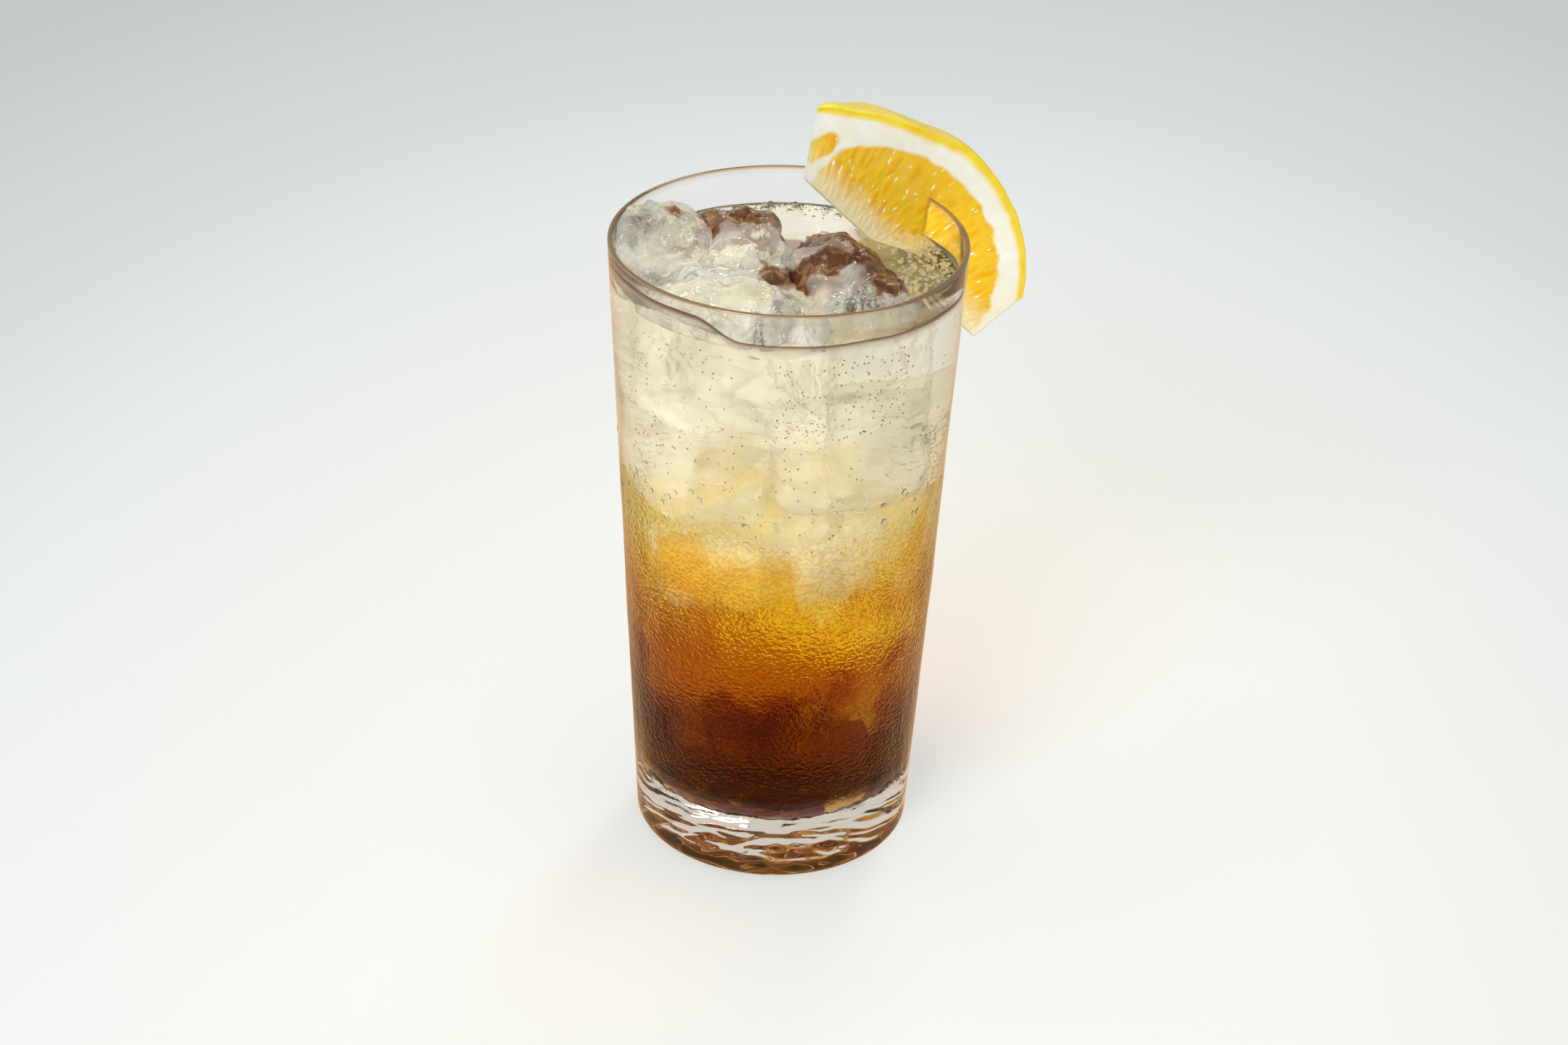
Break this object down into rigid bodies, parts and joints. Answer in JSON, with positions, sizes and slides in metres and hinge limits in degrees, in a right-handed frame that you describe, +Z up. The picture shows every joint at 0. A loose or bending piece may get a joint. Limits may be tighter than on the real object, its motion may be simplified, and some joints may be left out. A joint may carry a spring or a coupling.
{
  "type": "glass of sparkling cold brew coffee",
  "caption": "Flaring clear tumbler with a thick base, filled with cold brew that runs from dark coffee to pale soda water, with ice standing out of it and a lemon wedge slit onto the rim.",
  "frame": {"origin": "centre of the tumbler's underside, on its axis", "axes": "+Z up along the tumbler's axis; the lemon wedge sits on the rim towards +X and +Y"},
  "size_m": [0.0899, 0.0843, 0.1656],
  "materials": {
    "tumbler_glass": "clear, moulded, polished lip",
    "dark_coffee": "clear dark liquid",
    "amber_coffee": "clear amber liquid",
    "pale_soda": "clear straw-coloured liquid with fine bubbles",
    "clear_ice": "clear melting ice, wet",
    "lemon": "wet cut lemon with waxy rind"
  },
  "bodies": {
    "root": {"glass": "tumbler_glass", "coffee_layer": "dark_coffee", "amber_layer": "amber_coffee", "soda_layer": "pale_soda", "ice_left": "clear_ice", "ice_peak": "clear_ice", "ice_front": "clear_ice", "ice_right": "clear_ice", "lemon_wedge": "lemon"}
  },
  "joints": []
}
